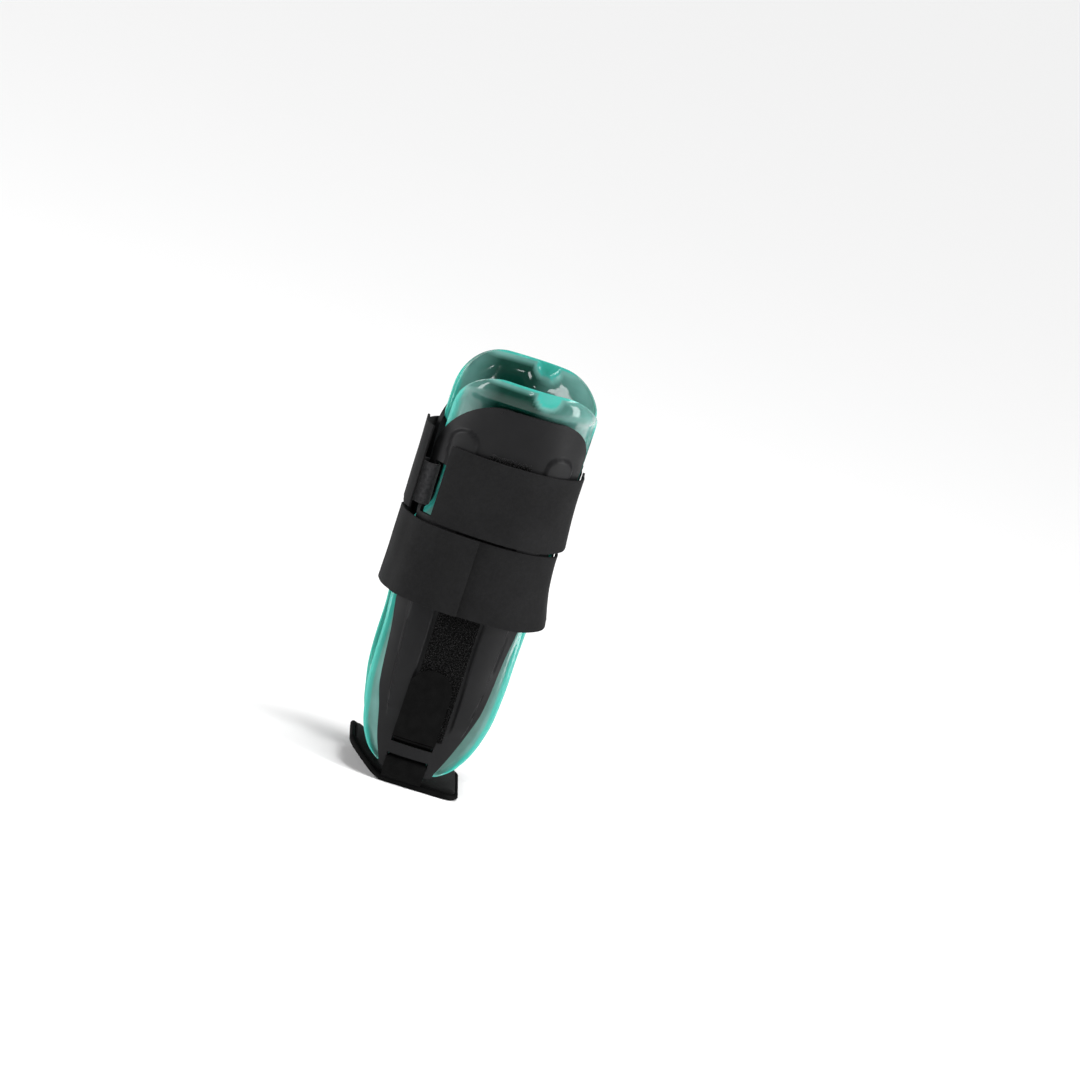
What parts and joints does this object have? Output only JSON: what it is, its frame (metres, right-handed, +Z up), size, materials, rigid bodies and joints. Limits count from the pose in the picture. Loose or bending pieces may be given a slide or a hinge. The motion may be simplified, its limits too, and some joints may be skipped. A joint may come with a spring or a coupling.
{
  "type": "stirrup ankle brace",
  "caption": "Gel-lined stirrup ankle brace: mirror-twin moulded shells hinged on a heel strap, closed by wide hook-and-loop straps round the shin.",
  "frame": {"origin": "centre line of the leg on the flat underside of the heel pad", "axes": "+X to the toes, -Y to the outer side of the ankle, +Z up the leg"},
  "size_m": [0.1122, 0.1114, 0.273],
  "materials": {
    "shell_plastic": "satin, moulded black polypropylene",
    "gel_film": "glossy translucent teal film over gel",
    "loop_pile": "fuzzy black loop pile",
    "hook_tape": "black hook tape",
    "pad_fabric": "black brushed fabric over foam",
    "backing_fabric": "black loop cloth",
    "heel_webbing": "matt black laminated loop tape",
    "strap_fabric": "matt charcoal laminated strap"
  },
  "bodies": {
    "heel_stirrup": {"heel_pad_cover": "pad_fabric", "heel_pad_cushion": "pad_fabric", "heel_strap_base": "heel_webbing"},
    "lateral_frame": {"lateral_shell": "shell_plastic", "lateral_gel_pad": "gel_film", "lateral_pad_backing": "backing_fabric", "lateral_upper_hook_patch": "hook_tape", "lateral_lower_hook_patch": "hook_tape", "lateral_loop_strip": "loop_pile", "lateral_heel_strap_riser": "heel_webbing", "lower_strap_under_length": "strap_fabric", "lower_strap_under_hook": "hook_tape"},
    "medial_frame": {"medial_shell": "shell_plastic", "medial_gel_pad": "gel_film", "medial_pad_backing": "backing_fabric", "medial_upper_hook_patch": "hook_tape", "medial_lower_hook_patch": "hook_tape", "medial_loop_strip": "loop_pile", "medial_heel_strap_riser": "heel_webbing", "lower_strap_band": "strap_fabric", "upper_strap_band": "strap_fabric"},
    "lateral_heel_tab": {"lateral_heel_tab": "heel_webbing", "lateral_heel_tab_hook": "hook_tape"},
    "medial_heel_tab": {"medial_heel_tab": "heel_webbing", "medial_heel_tab_hook": "hook_tape"},
    "upper_strap_end": {"upper_strap_end": "strap_fabric", "upper_strap_end_hook": "hook_tape"},
    "upper_strap_rear": {"upper_strap_rear_wing": "strap_fabric", "upper_strap_anchor_loop": "strap_fabric"},
    "lower_strap_end": {"lower_strap_end": "strap_fabric", "lower_strap_end_hook": "hook_tape"}
  },
  "joints": [
    {"name": "lateral_shell_swing", "type": "hinge", "parent": "heel_stirrup", "child": "lateral_frame", "pos_m": [0, -0.0386, 0.0046], "axis": [1, 0, 0], "range_deg": [0, 60]},
    {"name": "medial_shell_swing", "type": "hinge", "parent": "heel_stirrup", "child": "medial_frame", "pos_m": [0, 0.0386, 0.0046], "axis": [-1, 0, 0], "range_deg": [0, 60]},
    {"name": "lateral_heel_tab_peel", "type": "hinge", "parent": "lateral_frame", "child": "lateral_heel_tab", "pos_m": [0, -0.04553, 0.0321], "axis": [1, 0, 0], "range_deg": [0, 110]},
    {"name": "medial_heel_tab_peel", "type": "hinge", "parent": "medial_frame", "child": "medial_heel_tab", "pos_m": [0, 0.04553, 0.0321], "axis": [-1, 0, 0], "range_deg": [0, 110]},
    {"name": "upper_strap_end_peel", "type": "hinge", "parent": "lateral_frame", "child": "upper_strap_end", "pos_m": [0.05437, -0.00287, 0.19675], "axis": [0, 0, 1], "range_deg": [0, 90]},
    {"name": "upper_strap_anchor_pivot", "type": "hinge", "parent": "lateral_frame", "child": "upper_strap_rear", "pos_m": [-0.04286, -0.02915, 0.19675], "axis": [0, 0, 1], "range_deg": [0, 40]},
    {"name": "lower_strap_end_peel", "type": "hinge", "parent": "lateral_frame", "child": "lower_strap_end", "pos_m": [-0.05322, -0.00263, 0.14425], "axis": [0, 0, -1], "range_deg": [0, 90]}
  ]
}
